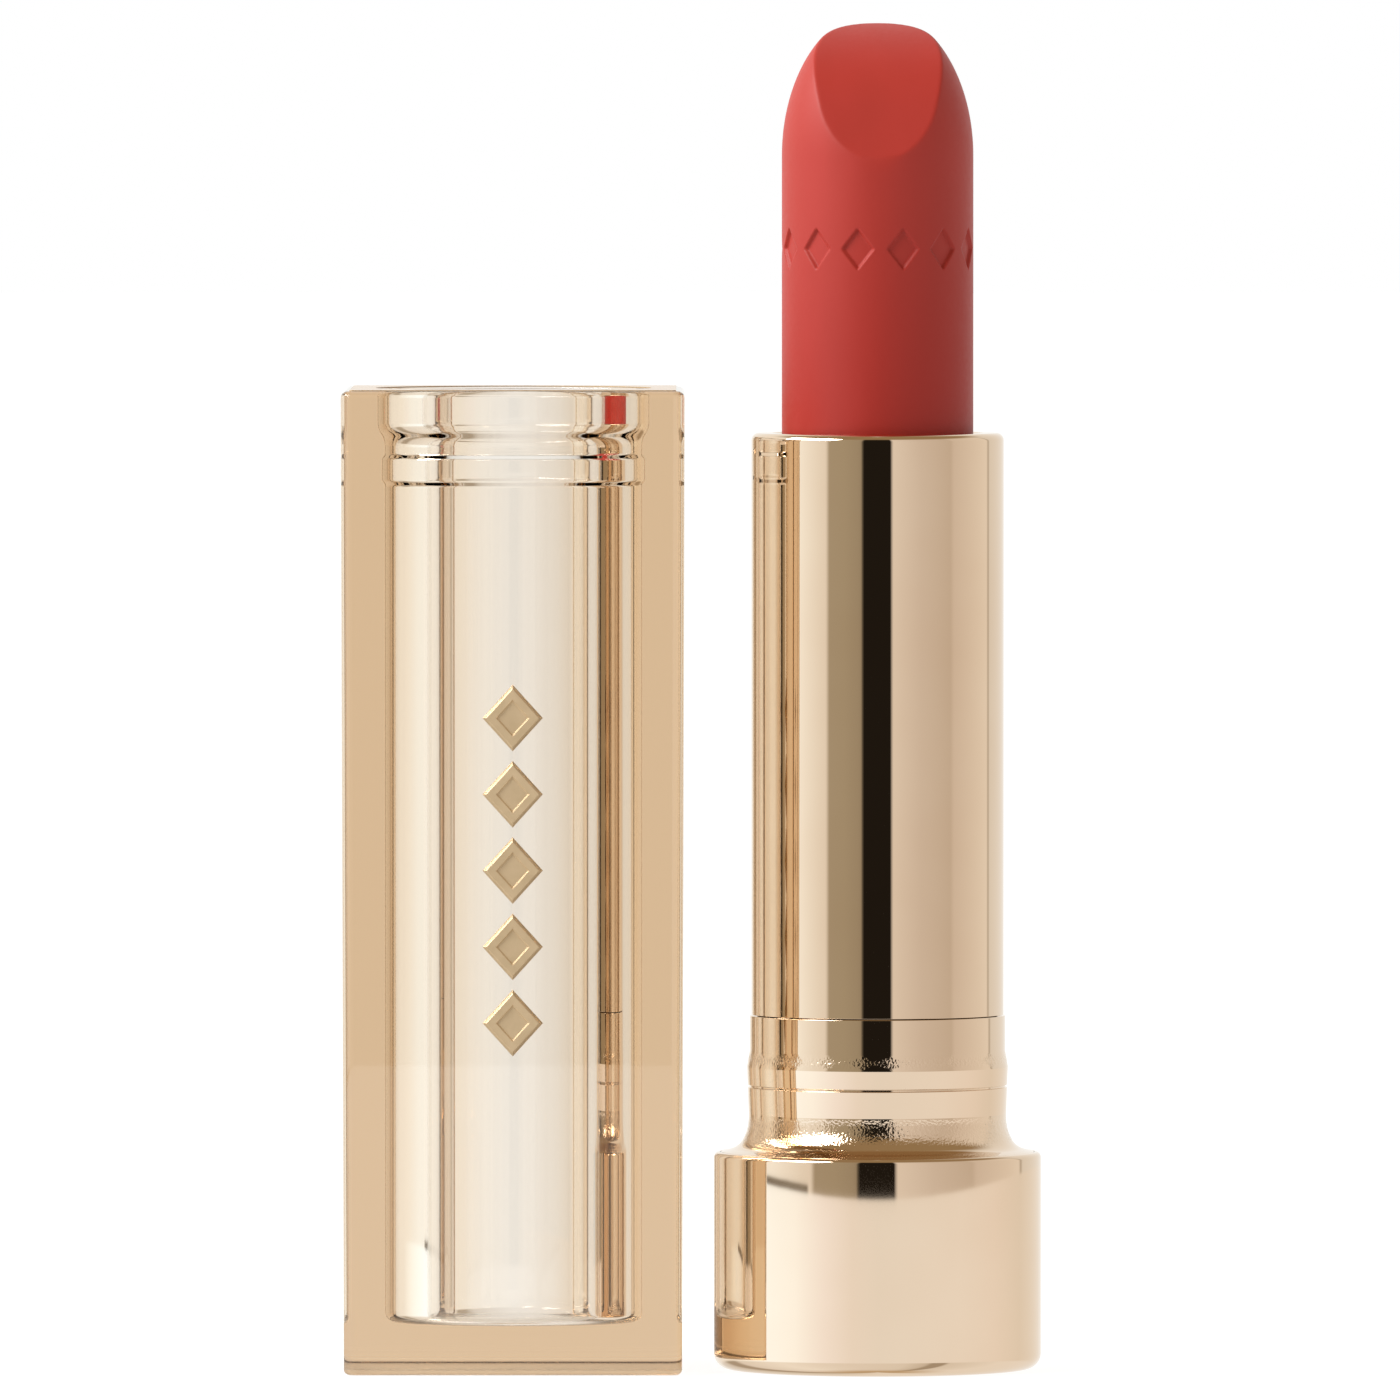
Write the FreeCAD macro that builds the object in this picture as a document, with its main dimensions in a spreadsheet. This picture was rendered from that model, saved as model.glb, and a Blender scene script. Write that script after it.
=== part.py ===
import FreeCAD, Part
import math
import os
import re

import Sketcher

# Lipstick case, in millimetres. +Z is up and the front faces -Y. The origin is the
# middle of the base's foot. The tube stands open with the bullet raised, and the
# square cap stands beside it on the same surface, mouth up.

# Every driving dimension: alias, value, meaning. They go into the spreadsheet.
SIZES = (
    ("base_radius", 10.35, "outside of the base"),
    ("base_height", 13.75, "top of the base"),
    ("base_wall", 0.42, "drawn wall of the base"),
    ("base_floor", 0.8, "inside floor of the base"),
    ("foot_round", 1.0, "round of the base's foot"),
    ("base_rim_round", 0.36, "round of the base's rim"),
    ("recess_radius", 7.4, "recess under the base"),
    ("recess_depth", 0.2, "depth of that recess"),
    ("label_radius", 7.1, "blank disc in the recess"),
    ("label_thickness", 0.1, "thickness of the blank disc"),
    ("weight_radius", 9.8, "steel slug"),
    ("weight_top", 4.2, "top of the slug"),
    ("weight_chamfer", 0.4, "chamfer round the slug's top"),
    ("insert_radius", 9.6, "plug that fills the base"),
    ("insert_floor", 8.4, "floor of the plug's socket"),
    ("crush_rib_reach", 9.88, "how far the plug's ribs reach"),
    ("crush_rib_width", 0.8, "width of one rib"),
    ("crush_rib_count", 8, "number of ribs"),
    ("seat_gap", 0.05, "gap between seated pieces"),
    ("collar_bore", 7.6, "inside of the collar"),
    ("flange_radius", 9.9, "flange that closes the base"),
    ("flange_thickness", 0.55, "thickness of the flange"),
    ("flare_round", 1.68, "hollow flare from the flange to the neck"),
    ("neck_radius", 8.15, "neck of the collar"),
    ("neck_top", 16.1, "where the neck starts to widen"),
    ("groove_height", 17.84, "lower edge of the fine groove"),
    ("groove_width", 0.14, "width of the fine groove"),
    ("groove_radius", 8.1, "bottom of the fine groove"),
    ("ridge_radius", 8.26, "snap ridge that holds the cap"),
    ("ridge_height", 19.14, "widest place of the snap ridge"),
    ("ridge_round", 0.2, "round of the snap ridge"),
    ("shoulder_height", 20.15, "where the ridge meets the upper collar"),
    ("collar_radius", 8.08, "upper collar"),
    ("collar_top", 22.37, "top of the collar"),
    ("collar_edge_round", 0.1, "round of the collar's top edge"),
    ("sleeve_foot_radius", 7.55, "thick foot of the fixed sleeve"),
    ("sleeve_foot_bore", 6.6, "hollow under the fixed sleeve's floor"),
    ("sleeve_foot_top", 21.9, "ledge on the fixed sleeve"),
    ("sleeve_floor_bottom", 20.3, "underside of the fixed sleeve's floor"),
    ("sleeve_floor_top", 21.2, "top of the fixed sleeve's floor"),
    ("sleeve_bore", 6.45, "inside of the fixed sleeve"),
    ("sleeve_radius", 6.85, "outside of the fixed sleeve"),
    ("sleeve_top", 58.4, "top of the fixed sleeve"),
    ("bead_radius", 7.0, "bead that keeps the turning sleeve on"),
    ("bead_bottom", 55.3, "lower edge of the bead"),
    ("bead_height", 0.6, "height of the bead"),
    ("bead_gap", 0.15, "space round the bead"),
    ("slot_width", 1.8, "straight slots of the fixed sleeve"),
    ("brake_ring_radius", 7.22, "middle of the brake ring"),
    ("brake_ring_section", 0.24, "radius of the brake ring's section"),
    ("spiral_bore", 6.92, "inside of the turning sleeve"),
    ("spiral_radius", 7.5, "outside of the turning sleeve"),
    ("spiral_bottom", 22.5, "bottom of the turning sleeve"),
    ("spiral_top", 58.55, "top of the turning sleeve"),
    ("spiral_lead", 18, "rise of the helical grooves in one turn"),
    ("spiral_groove_radius", 7.26, "bottom of the helical grooves"),
    ("spiral_groove_height", 2.1, "upright height of a helical groove"),
    ("spiral_groove_spare", 0.6, "how far a groove runs past the lug"),
    ("tube_radius", 7.98, "outside of the tube"),
    ("tube_bore", 7.53, "inside of the tube"),
    ("tube_bottom", 22.45, "bottom of the tube"),
    ("tube_top", 59.2, "mouth of the tube"),
    ("tube_lip_radius", 6.55, "opening in the in-turned mouth"),
    ("tube_lip_thickness", 0.55, "thickness of the in-turned mouth"),
    ("tube_mouth_round", 0.48, "round outside the mouth"),
    ("tube_lip_round", 0.2, "round inside the mouth"),
    ("cup_radius", 6.38, "outside of the carrier cup"),
    ("cup_bore", 6.07, "inside of the carrier cup"),
    ("cup_bottom", 49.3, "bottom of the cup, raised"),
    ("cup_floor", 50.1, "floor of the cup, raised"),
    ("cup_top", 58.8, "rim of the cup, raised"),
    ("lug_radius", 0.8, "radius of the cup's lugs"),
    ("lug_height", 51.3, "middle of the lugs, raised"),
    ("lug_reach", 7.17, "how far the lugs reach from the axis"),
    ("bullet_travel", 27.5, "how far the bullet sinks"),
    ("bullet_radius", 6.05, "bullet"),
    ("bullet_bottom", 50.12, "root of the bullet, raised"),
    ("bullet_shoulder", 76.7, "where the bullet's dome starts"),
    ("bullet_dome", 9.2, "height of the whole dome"),
    ("cut_level", 76.4, "where the slanted cut starts"),
    ("cut_angle", 63.5, "slope of the slanted cut's flat part, in degrees"),
    ("cut_flat", 3.8, "length of the flat part along the slope"),
    ("cut_crown", 10.0, "round in which the cut ends over the top"),
    ("cap_spacing", 23.0, "from the tube's axis to the cap's"),
    ("cap_set_back", 2.6, "how far the cap stands behind the tube's axis"),
    ("cap_foot_width", 21.3, "side of the cap at its closed end"),
    ("cap_mouth_width", 21.65, "side of the cap at its mouth"),
    ("cap_height", 62.0, "height of the cap"),
    ("cap_side_round", 0.8, "round of the cap's upright edges"),
    ("cap_foot_round", 0.35, "round of the closed end's edges"),
    ("cap_mouth_round", 0.45, "round of the mouth end's edges"),
    ("cap_bore", 8.15, "bore of the cap"),
    ("cap_bore_floor", 3.0, "floor of the bore"),
    ("cap_bore_round", 0.6, "round at the bore's floor"),
    ("cap_counterbore", 8.6, "wide start of the bore"),
    ("cap_counterbore_depth", 3.3, "depth of the wide start"),
    ("counterbore_slope", 0.8, "height of the slope at its end"),
    ("snap_radius", 8.33, "groove that takes the snap ridge"),
    ("snap_start", 4.1, "upper edge of the snap groove below the mouth"),
    ("snap_end", 6.1, "lower edge of the snap groove below the mouth"),
    ("snap_slope", 0.3, "height of each slope of the snap groove"),
    ("emblem_width", 3.8, "width of one lozenge"),
    ("emblem_length", 4.2, "height of one lozenge"),
    ("emblem_pitch", 4.8, "from one lozenge to the next"),
    ("emblem_start", 22.2, "middle of the lowest lozenge"),
    ("emblem_relief", 0.35, "how far a lozenge stands out"),
    ("emblem_taper", 20, "slope of a lozenge's sides, in degrees"),
)
EMBLEM_COUNT = 5
CUTTER_SIZE = 40
OVERRUN = 1
ALIAS = re.compile(r"[a-z]+(?:_[a-z]+)+")

doc = FreeCAD.newDocument("lipstick_case")
sheet = doc.addObject("Spreadsheet::Sheet", "sizes")
for row, (alias, amount, meaning) in enumerate(SIZES, start=1):
    sheet.set("A%d" % row, alias)
    sheet.set("B%d" % row, str(amount))
    sheet.set("C%d" % row, meaning)
    sheet.setAlias("B%d" % row, alias)
doc.recompute()


def size(expression):
    """The value of an expression of spreadsheet aliases."""
    return float(sheet.evalExpression(expression))


def cell(expression):
    """The same expression as another object reads it from the sheet."""
    return ALIAS.sub(r"sizes.\g<0>", expression)


def bind(item, **properties):
    """Bind properties of an object to expressions of the sheet."""
    for name, expression in properties.items():
        item.setExpression(name, cell(expression))


def lift(item, expression):
    """Place an object so far up the Z axis."""
    item.setExpression(".Placement.Base.z", cell(expression))


def new_body(label):
    """An empty body that carries a node's name."""
    body = doc.addObject("PartDesign::Body", label)
    body.Label = label
    return body


def origin_part(body, role):
    """One of the body's own origin planes or axes."""
    return next(part for part in body.Origin.OriginFeatures if part.Role == role)


def new_sketch(body, name, plane):
    """A sketch on one of the body's own origin planes."""
    sketch = body.newObject("Sketcher::SketchObject", name)
    sketch.AttachmentSupport = [(origin_part(body, plane), "")]
    sketch.MapMode = "FlatFace"
    return sketch


def fix_point(sketch, geometry, point, across, up):
    """Hold a sketch point at two sheet expressions."""
    for kind, expression in (("DistanceX", across), ("DistanceY", up)):
        amount = size(expression)
        rule = Sketcher.Constraint(kind, -1, 1, geometry, point, amount)
        index = sketch.addConstraint(rule)
        sketch.setExpression("Constraints[%d]" % index, cell(expression))


def draw_outline(sketch, corners):
    """Draw a closed outline whose corners are sheet expressions."""
    first = sketch.GeometryCount
    places = [FreeCAD.Vector(size(across), size(up), 0) for across, up in corners]
    for start, end in zip(places, places[1:] + places[:1]):
        sketch.addGeometry(Part.LineSegment(start, end))
    for step, (across, up) in enumerate(corners):
        following = first + (step + 1) % len(corners)
        sketch.addConstraint(Sketcher.Constraint("Coincident", first + step, 2, following, 1))
        fix_point(sketch, first + step, 1, across, up)


def turned_body(label, corners):
    """A body made by turning an outline of radius and height about Z."""
    body = new_body(label)
    sketch = new_sketch(body, label + "_outline", "XZ_Plane")
    draw_outline(sketch, corners)
    turn = body.newObject("PartDesign::Revolution", label + "_turn")
    turn.Profile = sketch
    turn.ReferenceAxis = (sketch, ["V_Axis"])
    turn.Angle = 360
    sketch.Visibility = False
    doc.recompute()
    return body


def circles_at(shape, radius, height):
    """Names of a shape's round edges of one radius at one height."""
    names = []
    for index, edge in enumerate(shape.Edges, start=1):
        curve = edge.Curve
        if not isinstance(curve, Part.Circle):
            continue
        same_radius = math.isclose(curve.Radius, size(radius), abs_tol=1e-4)
        same_height = math.isclose(curve.Center.z, size(height), abs_tol=1e-4)
        if same_radius and same_height:
            names.append("Edge%d" % index)
    return names


def soften(body, name, rounding, edges, kind="Fillet"):
    """Fillet or chamfer named edges of the body's tip by a sheet expression."""
    tip = body.Tip
    feature = body.newObject("PartDesign::" + kind, name)
    feature.Base = (tip, edges)
    bind(feature, **{"Radius" if kind == "Fillet" else "Size": rounding})
    doc.recompute()


def round_circle(body, name, rounding, radius, height):
    """Round the circular edge of one radius at one height."""
    soften(body, name, rounding, circles_at(body.Tip.Shape, radius, height))


def check_cut(body, before):
    """Stop if the last feature took nothing away."""
    doc.recompute()
    if body.Shape.Volume >= before:
        raise RuntimeError("nothing was cut from " + body.Label)


# Base shell: a drawn cup with a round foot and a shallow recess underneath.
base_shell = turned_body("base_shell", (
    ("0", "recess_depth"),
    ("recess_radius", "recess_depth"),
    ("recess_radius", "0"),
    ("base_radius", "0"),
    ("base_radius", "base_height"),
    ("base_radius - base_wall", "base_height"),
    ("base_radius - base_wall", "base_floor"),
    ("0", "base_floor"),
))
round_circle(base_shell, "base_foot", "foot_round", "base_radius", "0")
round_circle(base_shell, "base_rim", "base_rim_round", "base_radius", "base_height")

# Blank disc in the recess, clear of the surface that the base stands on.
base_label = doc.addObject("Part::Cylinder", "base_label")
base_label.Label = "base_label"
bind(base_label, Radius="label_radius", Height="label_thickness")
lift(base_label, "recess_depth - label_thickness")

# Steel slug on the shell's floor.
base_weight = new_body("base_weight")
slug_sketch = new_sketch(base_weight, "base_weight_outline", "XY_Plane")
slug_sketch.addGeometry(Part.Circle(FreeCAD.Vector(), FreeCAD.Vector(0, 0, 1), size("weight_radius")))
slug_sketch.addConstraint(Sketcher.Constraint("Coincident", 0, 3, -1, 1))
slug_sketch.addConstraint(Sketcher.Constraint("Radius", 0, size("weight_radius")))
slug_sketch.setExpression("Constraints[1]", cell("weight_radius"))
slug_pad = base_weight.newObject("PartDesign::Pad", "base_weight_pad")
slug_pad.Profile = slug_sketch
bind(slug_pad, Length="weight_top - base_floor - seat_gap")
doc.recompute()
soften(base_weight, "base_weight_chamfer", "weight_chamfer",
       circles_at(slug_pad.Shape, "weight_radius", "weight_top - base_floor - seat_gap"),
       kind="Chamfer")
lift(base_weight, "base_floor + seat_gap")

# Moulded plug: a socket for the sleeve, with crush ribs round the outside.
base_insert = turned_body("base_insert", (
    ("0", "weight_top + seat_gap"),
    ("insert_radius", "weight_top + seat_gap"),
    ("insert_radius", "base_height - flange_thickness - seat_gap"),
    ("collar_bore", "base_height - flange_thickness - seat_gap"),
    ("collar_bore", "insert_floor"),
    ("0", "insert_floor"),
))
rib_sketch = new_sketch(base_insert, "crush_rib_outline", "XY_Plane")
draw_outline(rib_sketch, (
    ("insert_radius - crush_rib_width", "-crush_rib_width / 2"),
    ("crush_rib_reach", "-crush_rib_width / 2"),
    ("crush_rib_reach", "crush_rib_width / 2"),
    ("insert_radius - crush_rib_width", "crush_rib_width / 2"),
))
rib_sketch.AttachmentOffset = FreeCAD.Placement(
    FreeCAD.Vector(0, 0, size("weight_top + seat_gap")), FreeCAD.Rotation())
rib_pad = base_insert.newObject("PartDesign::Pad", "crush_rib")
rib_pad.Profile = rib_sketch
bind(rib_pad, Length="base_height - flange_thickness - weight_top - seat_gap - seat_gap")
doc.recompute()
rib_ring = base_insert.newObject("PartDesign::PolarPattern", "crush_ribs")
rib_ring.Originals = [rib_pad]
rib_ring.Axis = (origin_part(base_insert, "Z_Axis"), [""])
rib_ring.Angle = 360
bind(rib_ring, Occurrences="crush_rib_count")
base_insert.Tip = rib_ring
doc.recompute()

# Collar: flange, hollow flare, neck, fine groove, snap ridge and upper collar.
collar = turned_body("collar", (
    ("collar_bore", "base_height - flange_thickness"),
    ("flange_radius", "base_height - flange_thickness"),
    ("flange_radius", "base_height"),
    ("neck_radius", "base_height"),
    ("neck_radius", "neck_top"),
    ("ridge_radius - seat_gap", "groove_height"),
    ("groove_radius", "groove_height"),
    ("groove_radius", "groove_height + groove_width"),
    ("ridge_radius - seat_gap", "groove_height + groove_width"),
    ("ridge_radius", "ridge_height"),
    ("collar_radius", "shoulder_height"),
    ("collar_radius", "collar_top"),
    ("collar_bore", "collar_top"),
))
round_circle(collar, "collar_flare", "flare_round", "neck_radius", "base_height")
round_circle(collar, "collar_ridge", "ridge_round", "ridge_radius", "ridge_height")
round_circle(collar, "collar_edge", "collar_edge_round", "collar_radius", "collar_top")

# Fixed sleeve: a thick foot, a floor, a thin wall with a bead and two straight slots.
inner_sleeve = turned_body("inner_sleeve", (
    ("sleeve_foot_bore", "insert_floor + seat_gap"),
    ("sleeve_foot_radius", "insert_floor + seat_gap"),
    ("sleeve_foot_radius", "sleeve_foot_top"),
    ("sleeve_radius", "sleeve_foot_top"),
    ("sleeve_radius", "bead_bottom"),
    ("bead_radius", "bead_bottom"),
    ("bead_radius", "bead_bottom + bead_height"),
    ("sleeve_radius", "bead_bottom + bead_height"),
    ("sleeve_radius", "sleeve_top"),
    ("sleeve_bore", "sleeve_top"),
    ("sleeve_bore", "sleeve_floor_top"),
    ("0", "sleeve_floor_top"),
    ("0", "sleeve_floor_bottom"),
    ("sleeve_foot_bore", "sleeve_floor_bottom"),
))
slot_sketch = new_sketch(inner_sleeve, "sleeve_slot_outline", "YZ_Plane")
draw_outline(slot_sketch, (
    ("-slot_width / 2", "lug_height - bullet_travel - slot_width / 2 - seat_gap"),
    ("slot_width / 2", "lug_height - bullet_travel - slot_width / 2 - seat_gap"),
    ("slot_width / 2", "lug_height + slot_width / 2 + seat_gap"),
    ("-slot_width / 2", "lug_height + slot_width / 2 + seat_gap"),
))
plain_volume = inner_sleeve.Shape.Volume
slots = inner_sleeve.newObject("PartDesign::Pocket", "sleeve_slots")
slots.Profile = slot_sketch
slots.Type = "ThroughAll"
slots.SideType = "Symmetric"
check_cut(inner_sleeve, plain_volume)

# Brake ring: a soft ring on the fixed sleeve's ledge, under the turning sleeve.
brake_ring = doc.addObject("Part::Torus", "brake_ring")
brake_ring.Label = "brake_ring"
bind(brake_ring, Radius1="brake_ring_radius", Radius2="brake_ring_section")
lift(brake_ring, "sleeve_foot_top + brake_ring_section + seat_gap / 2")

# Turning sleeve: a ring with a relief for the bead and two helical grooves.
spiral_sleeve = turned_body("spiral_sleeve", (
    ("spiral_bore", "spiral_bottom"),
    ("spiral_radius", "spiral_bottom"),
    ("spiral_radius", "spiral_top"),
    ("spiral_bore", "spiral_top"),
    ("spiral_bore", "bead_bottom + bead_height + bead_gap"),
    ("bead_radius + bead_gap", "bead_bottom + bead_height + bead_gap"),
    ("bead_radius + bead_gap", "bead_bottom - bead_gap"),
    ("spiral_bore", "bead_bottom - bead_gap"),
))
thread_sketch = new_sketch(spiral_sleeve, "spiral_groove_outline", "XZ_Plane")
thread_start = "lug_height - bullet_travel - spiral_groove_spare"
draw_outline(thread_sketch, (
    ("spiral_bore - seat_gap * 4", thread_start + " - spiral_groove_height / 2"),
    ("spiral_groove_radius", thread_start + " - spiral_groove_height / 2"),
    ("spiral_groove_radius", thread_start + " + spiral_groove_height / 2"),
    ("spiral_bore - seat_gap * 4", thread_start + " + spiral_groove_height / 2"),
))
plain_volume = spiral_sleeve.Shape.Volume
thread = spiral_sleeve.newObject("PartDesign::SubtractiveHelix", "spiral_groove")
thread.Profile = thread_sketch
thread.ReferenceAxis = (thread_sketch, ["V_Axis"])
thread.Mode = "pitch-height-angle"
bind(thread, Pitch="spiral_lead", Height="bullet_travel + 2 * spiral_groove_spare")
check_cut(spiral_sleeve, plain_volume)
threads = spiral_sleeve.newObject("PartDesign::PolarPattern", "spiral_grooves")
threads.Originals = [thread]
threads.Axis = (origin_part(spiral_sleeve, "Z_Axis"), [""])
threads.Angle = 360
threads.Occurrences = 2
spiral_sleeve.Tip = threads
# Turned back so that the raised lugs stand in the upper ends of the grooves.
groove_sweep = size("360 * (bullet_travel + spiral_groove_spare) / spiral_lead")
spiral_sleeve.Placement = FreeCAD.Placement(
    FreeCAD.Vector(), FreeCAD.Rotation(FreeCAD.Vector(0, 0, 1), -groove_sweep))
doc.recompute()

# Tube: a thin shell whose mouth turns in over both sleeves.
tube_shell = turned_body("tube_shell", (
    ("tube_bore", "tube_bottom"),
    ("tube_radius", "tube_bottom"),
    ("tube_radius", "tube_top"),
    ("tube_lip_radius", "tube_top"),
    ("tube_lip_radius", "tube_top - tube_lip_thickness"),
    ("tube_bore", "tube_top - tube_lip_thickness"),
))
round_circle(tube_shell, "tube_mouth", "tube_mouth_round", "tube_radius", "tube_top")
round_circle(tube_shell, "tube_lip", "tube_lip_round", "tube_lip_radius", "tube_top")

# Carrier cup: the lugs are one rod across the cup until its inside is cut out.
cup = turned_body("cup", (
    ("0", "cup_bottom"),
    ("cup_radius", "cup_bottom"),
    ("cup_radius", "cup_top"),
    ("0", "cup_top"),
))
lug_sketch = new_sketch(cup, "cup_lug_outline", "YZ_Plane")
lug_sketch.addGeometry(Part.Circle(
    FreeCAD.Vector(0, size("lug_height"), 0), FreeCAD.Vector(0, 0, 1), size("lug_radius")))
lug_sketch.addConstraint(Sketcher.Constraint("PointOnObject", 0, 3, -2))
lug_sketch.addConstraint(Sketcher.Constraint("DistanceY", -1, 1, 0, 3, size("lug_height")))
lug_sketch.addConstraint(Sketcher.Constraint("Radius", 0, size("lug_radius")))
lug_sketch.setExpression("Constraints[1]", cell("lug_height"))
lug_sketch.setExpression("Constraints[2]", cell("lug_radius"))
lug_rod = cup.newObject("PartDesign::Pad", "cup_lugs")
lug_rod.Profile = lug_sketch
lug_rod.SideType = "Symmetric"
bind(lug_rod, Length="2 * lug_reach")
doc.recompute()
cup_inside = new_sketch(cup, "cup_inside_outline", "XZ_Plane")
draw_outline(cup_inside, (
    ("0", "cup_floor"),
    ("cup_bore", "cup_floor"),
    ("cup_bore", "cup_top + %d" % OVERRUN),
    ("0", "cup_top + %d" % OVERRUN),
))
plain_volume = cup.Shape.Volume
cup_hollow = cup.newObject("PartDesign::Groove", "cup_hollow")
cup_hollow.Profile = cup_inside
cup_hollow.ReferenceAxis = (cup_inside, ["V_Axis"])
cup_hollow.Angle = 360
check_cut(cup, plain_volume)

# Bullet: a round bar with an egg-shaped top and one slanted cut that faces the front. The
# cut is flat at first and then bends over the top in a wide round.
bar = doc.addObject("Part::Cylinder", "bullet_bar")
bind(bar, Radius="bullet_radius", Height="bullet_shoulder - bullet_bottom")
lift(bar, "bullet_bottom")
dome = doc.addObject("Part::Ellipsoid", "bullet_dome")
dome.Angle1 = 0
bind(dome, Radius1="bullet_dome", Radius2="bullet_radius", Radius3="bullet_radius")
lift(dome, "bullet_shoulder")
whole_bullet = doc.addObject("Part::Fuse", "bullet_whole")
whole_bullet.Base = bar
whole_bullet.Tool = dome
whole_bullet.Refine = True
cut_turn = FreeCAD.Rotation(FreeCAD.Vector(1, 0, 0), size("cut_angle"))
cut_start = FreeCAD.Vector(0, size("-bullet_radius"), size("cut_level"))


def on_cut(along, out):
    """A place on the left of the bullet, measured along the cut's slope and out from it."""
    return cut_start + cut_turn.multVec(FreeCAD.Vector(-CUTTER_SIZE / 2, along, out))


def cutter_box(name, along, out):
    """A large box that leans with the cut."""
    box = doc.addObject("Part::Box", name)
    box.Length = CUTTER_SIZE
    box.Width = CUTTER_SIZE
    box.Height = CUTTER_SIZE
    box.Placement = FreeCAD.Placement(on_cut(along, out), cut_turn)
    return box


crown = doc.addObject("Part::Cylinder", "cut_crown")
crown.Height = CUTTER_SIZE
bind(crown, Radius="cut_crown")
crown.Placement = FreeCAD.Placement(
    on_cut(size("cut_flat"), size("-cut_crown")),
    cut_turn.multiply(FreeCAD.Rotation(FreeCAD.Vector(0, 1, 0), 90)))
over_top = doc.addObject("Part::Cut", "cut_over_top")
over_top.Base = cutter_box("cut_end", size("cut_flat"), -CUTTER_SIZE / 2)
over_top.Tool = crown
removed = doc.addObject("Part::Fuse", "cut_removed")
removed.Base = cutter_box("cut_slope", -CUTTER_SIZE / 2, 0)
removed.Tool = over_top
bullet = doc.addObject("Part::Cut", "bullet")
bullet.Label = "bullet"
bullet.Base = whole_bullet
bullet.Tool = removed
doc.recompute()

# Cap: a solid square block that widens slightly to its mouth, with a round bore.
cap_block = new_body("cap_block")
block_sketch = new_sketch(cap_block, "cap_block_outline", "XY_Plane")
draw_outline(block_sketch, (
    ("-cap_foot_width / 2", "-cap_foot_width / 2"),
    ("cap_foot_width / 2", "-cap_foot_width / 2"),
    ("cap_foot_width / 2", "cap_foot_width / 2"),
    ("-cap_foot_width / 2", "cap_foot_width / 2"),
))
block_pad = cap_block.newObject("PartDesign::Pad", "cap_block_pad")
block_pad.Profile = block_sketch
bind(block_pad, Length="cap_height",
     TaperAngle="atan( ( cap_mouth_width - cap_foot_width ) / 2 / cap_height )")
doc.recompute()


def edges_of_block(test):
    """Names of the tip's straight edges whose two ends both pass a height test."""
    shape = cap_block.Tip.Shape
    names = []
    for index, edge in enumerate(shape.Edges, start=1):
        heights = [vertex.Point.z for vertex in edge.Vertexes]
        if test(min(heights), max(heights)):
            names.append("Edge%d" % index)
    return names


middle = size("cap_height / 2")
soften(cap_block, "cap_sides", "cap_side_round",
       edges_of_block(lambda low, high: low < middle < high))
soften(cap_block, "cap_foot", "cap_foot_round",
       edges_of_block(lambda low, high: high < middle))
soften(cap_block, "cap_mouth", "cap_mouth_round",
       edges_of_block(lambda low, high: low > middle))
bore_sketch = new_sketch(cap_block, "cap_bore_outline", "XZ_Plane")
draw_outline(bore_sketch, (
    ("0", "cap_bore_floor"),
    ("cap_bore", "cap_bore_floor"),
    ("cap_bore", "cap_height - snap_end"),
    ("snap_radius", "cap_height - snap_end + snap_slope"),
    ("snap_radius", "cap_height - snap_start - snap_slope"),
    ("cap_bore", "cap_height - snap_start"),
    ("cap_bore", "cap_height - cap_counterbore_depth"),
    ("cap_counterbore", "cap_height - cap_counterbore_depth + counterbore_slope"),
    ("cap_counterbore", "cap_height + %d" % OVERRUN),
    ("0", "cap_height + %d" % OVERRUN),
))
plain_volume = cap_block.Shape.Volume
bore = cap_block.newObject("PartDesign::Groove", "cap_bore")
bore.Profile = bore_sketch
bore.ReferenceAxis = (bore_sketch, ["V_Axis"])
bore.Angle = 360
check_cut(cap_block, plain_volume)
round_circle(cap_block, "cap_bore_floor", "cap_bore_round", "cap_bore", "cap_bore_floor")
cap_block.setExpression(".Placement.Base.x", cell("-cap_spacing"))
cap_block.setExpression(".Placement.Base.y", cell("cap_set_back"))

# Ornament on the cap's front: a column of plain lozenges that leans with the face.
cap_emblem = new_body("cap_emblem")
cap_emblem.AllowCompound = True
emblem_sketch = new_sketch(cap_emblem, "cap_emblem_outline", "XZ_Plane")
for number in range(EMBLEM_COUNT):
    centre = "emblem_start + %d * emblem_pitch" % number
    draw_outline(emblem_sketch, (
        ("0", centre + " - emblem_length / 2"),
        ("emblem_width / 2", centre),
        ("0", centre + " + emblem_length / 2"),
        ("-emblem_width / 2", centre),
    ))
emblem_pad = cap_emblem.newObject("PartDesign::Pad", "cap_emblem_pad")
emblem_pad.Profile = emblem_sketch
bind(emblem_pad, Length="emblem_relief", TaperAngle="-emblem_taper")
lean = size("atan((cap_mouth_width - cap_foot_width) / 2 / cap_height)")
cap_emblem.Placement = FreeCAD.Placement(
    FreeCAD.Vector(size("-cap_spacing"), size("cap_set_back - cap_foot_width / 2"), 0),
    FreeCAD.Rotation(FreeCAD.Vector(1, 0, 0), lean))
doc.recompute()

NODES = (
    base_shell, base_label, base_weight, base_insert, collar, inner_sleeve, brake_ring,
    spiral_sleeve, tube_shell, cup, bullet, cap_block, cap_emblem,
)

for item in doc.Objects:
    if "Invalid" in item.State or "Error" in item.State:
        raise RuntimeError("%s failed: %s" % (item.Name, item.State))
for node in NODES:
    if node.Shape.isNull() or not node.Shape.isValid():
        raise RuntimeError(node.Label + " has no valid shape")

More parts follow.
